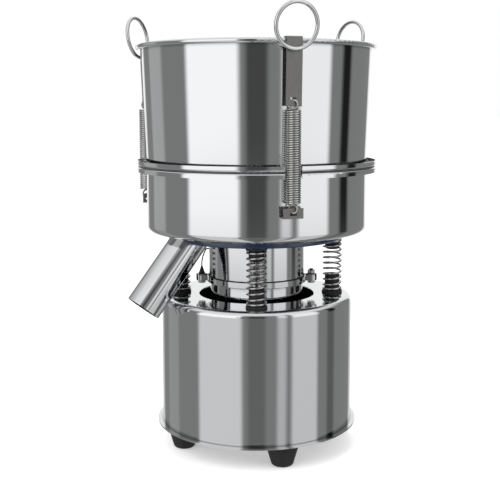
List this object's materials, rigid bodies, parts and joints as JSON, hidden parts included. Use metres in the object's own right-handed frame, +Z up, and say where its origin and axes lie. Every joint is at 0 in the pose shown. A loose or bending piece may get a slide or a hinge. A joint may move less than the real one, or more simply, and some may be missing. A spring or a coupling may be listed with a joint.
{
  "type": "vibrating sieve",
  "caption": "Bench vibrating sieve: drum base, spring-carried tray with motor, pan with chute, screen and open hopper held by spring clamps.",
  "frame": {"origin": "on the machine's own axis, in the plane of the feet's soles", "axes": "+Z up along the machine's axis, -Y towards the front, +X to the right seen from the front"},
  "size_m": [0.3428, 0.3435, 0.5918],
  "materials": {
    "polished_stainless": "mirror polished",
    "brushed_stainless": "brushed",
    "spring_steel": "drawn wire",
    "blue_enamel": "gloss enamel",
    "cast_aluminium": "die cast",
    "rubber": "moulded",
    "silicone": "moulded",
    "black_plastic": "moulded",
    "white_plastic": "moulded",
    "red_plastic": "moulded",
    "iron": "as cast",
    "copper": "varnished wire"
  },
  "bodies": {
    "base": {"foot_0": "rubber", "foot_1": "rubber", "foot_2": "rubber", "foot_3": "rubber", "bottom_plate": "brushed_stainless", "base_drum": "polished_stainless", "spring_seat_lower_0": "rubber", "spring_seat_lower_1": "rubber", "spring_seat_lower_2": "rubber", "spring_seat_lower_3": "rubber", "main_spring_0": "spring_steel", "main_spring_1": "spring_steel", "main_spring_2": "spring_steel", "main_spring_3": "spring_steel", "switch_bezel": "black_plastic", "cord_gland": "black_plastic", "capacitor": "white_plastic", "capacitor_clip": "brushed_stainless"},
    "shaker": {"spring_seat_upper_0": "rubber", "spring_seat_upper_1": "rubber", "spring_seat_upper_2": "rubber", "spring_seat_upper_3": "rubber", "carrier_tray": "blue_enamel", "collecting_pan": "polished_stainless", "discharge_chute": "polished_stainless", "screen_gasket": "silicone", "screen_hoop": "brushed_stainless", "screen_mesh": "brushed_stainless", "hopper": "polished_stainless", "motor_can": "polished_stainless", "motor_cup": "polished_stainless", "end_shield": "cast_aluminium", "bearing_upper": "spring_steel", "bearing_lower": "spring_steel", "stator_stack": "iron", "stator_windings": "copper", "ear_bolt_0": "brushed_stainless", "ear_bolt_1": "brushed_stainless", "ear_bolt_2": "brushed_stainless", "ear_bolt_3": "brushed_stainless", "earth_lead": "black_plastic", "clamp_lug_front": "brushed_stainless", "clamp_lug_back": "brushed_stainless", "clamp_lug_left": "brushed_stainless"},
    "rotor": {"motor_shaft": "spring_steel", "rotor_core": "iron", "weight_upper": "iron", "weight_lower": "iron"},
    "rocker": {"switch_rocker": "red_plastic"},
    "spring_front": {"clamp_spring_front": "spring_steel"},
    "strap_front": {"clamp_strap_front": "brushed_stainless", "pull_ring_front": "polished_stainless"},
    "spring_back": {"clamp_spring_back": "spring_steel"},
    "strap_back": {"clamp_strap_back": "brushed_stainless", "pull_ring_back": "polished_stainless"},
    "spring_left": {"clamp_spring_left": "spring_steel"},
    "strap_left": {"clamp_strap_left": "brushed_stainless", "pull_ring_left": "polished_stainless"}
  },
  "joints": [
    {"name": "bounce", "type": "slide", "parent": "base", "child": "shaker", "axis": [0, 0, 1], "range_m": [-0.006, 0.006], "stiffness_N_per_m": 12000, "springref_m": 0.0114, "deforming": ["main_spring_0", "main_spring_1", "main_spring_2", "main_spring_3"]},
    {"name": "rotor_spin", "type": "hinge", "parent": "shaker", "child": "rotor", "pos_m": [0, 0, 0.19], "axis": [0, 0, 1], "continuous": true},
    {"name": "switch_tip", "type": "hinge", "parent": "base", "child": "rocker", "pos_m": [0, 0.1295, 0.12], "axis": [1, 0, 0], "range_deg": [0, 20]},
    {"name": "clamp_front_swing", "type": "hinge", "parent": "shaker", "child": "spring_front", "pos_m": [0.04464, -0.15567, 0.3372], "axis": [0.9613, 0.2756, 0], "range_deg": [0, 20]},
    {"name": "clamp_front_lift", "type": "slide", "parent": "spring_front", "child": "strap_front", "axis": [0, 0, 1], "range_m": [0, 0.01], "stiffness_N_per_m": 2000, "springref_m": -0.02, "deforming": ["clamp_spring_front"]},
    {"name": "clamp_back_swing", "type": "hinge", "parent": "shaker", "child": "spring_back", "pos_m": [0.12933, 0.09746, 0.3372], "axis": [-0.6018, 0.7986, 0], "range_deg": [0, 20]},
    {"name": "clamp_back_lift", "type": "slide", "parent": "spring_back", "child": "strap_back", "axis": [0, 0, 1], "range_m": [0, 0.01], "stiffness_N_per_m": 2000, "springref_m": -0.02, "deforming": ["clamp_spring_back"]},
    {"name": "clamp_left_swing", "type": "hinge", "parent": "shaker", "child": "spring_left", "pos_m": [-0.15642, 0.04191, 0.3372], "axis": [-0.2588, -0.9659, 0], "range_deg": [0, 20]},
    {"name": "clamp_left_lift", "type": "slide", "parent": "spring_left", "child": "strap_left", "axis": [0, 0, 1], "range_m": [0, 0.01], "stiffness_N_per_m": 2000, "springref_m": -0.02, "deforming": ["clamp_spring_left"]}
  ]
}
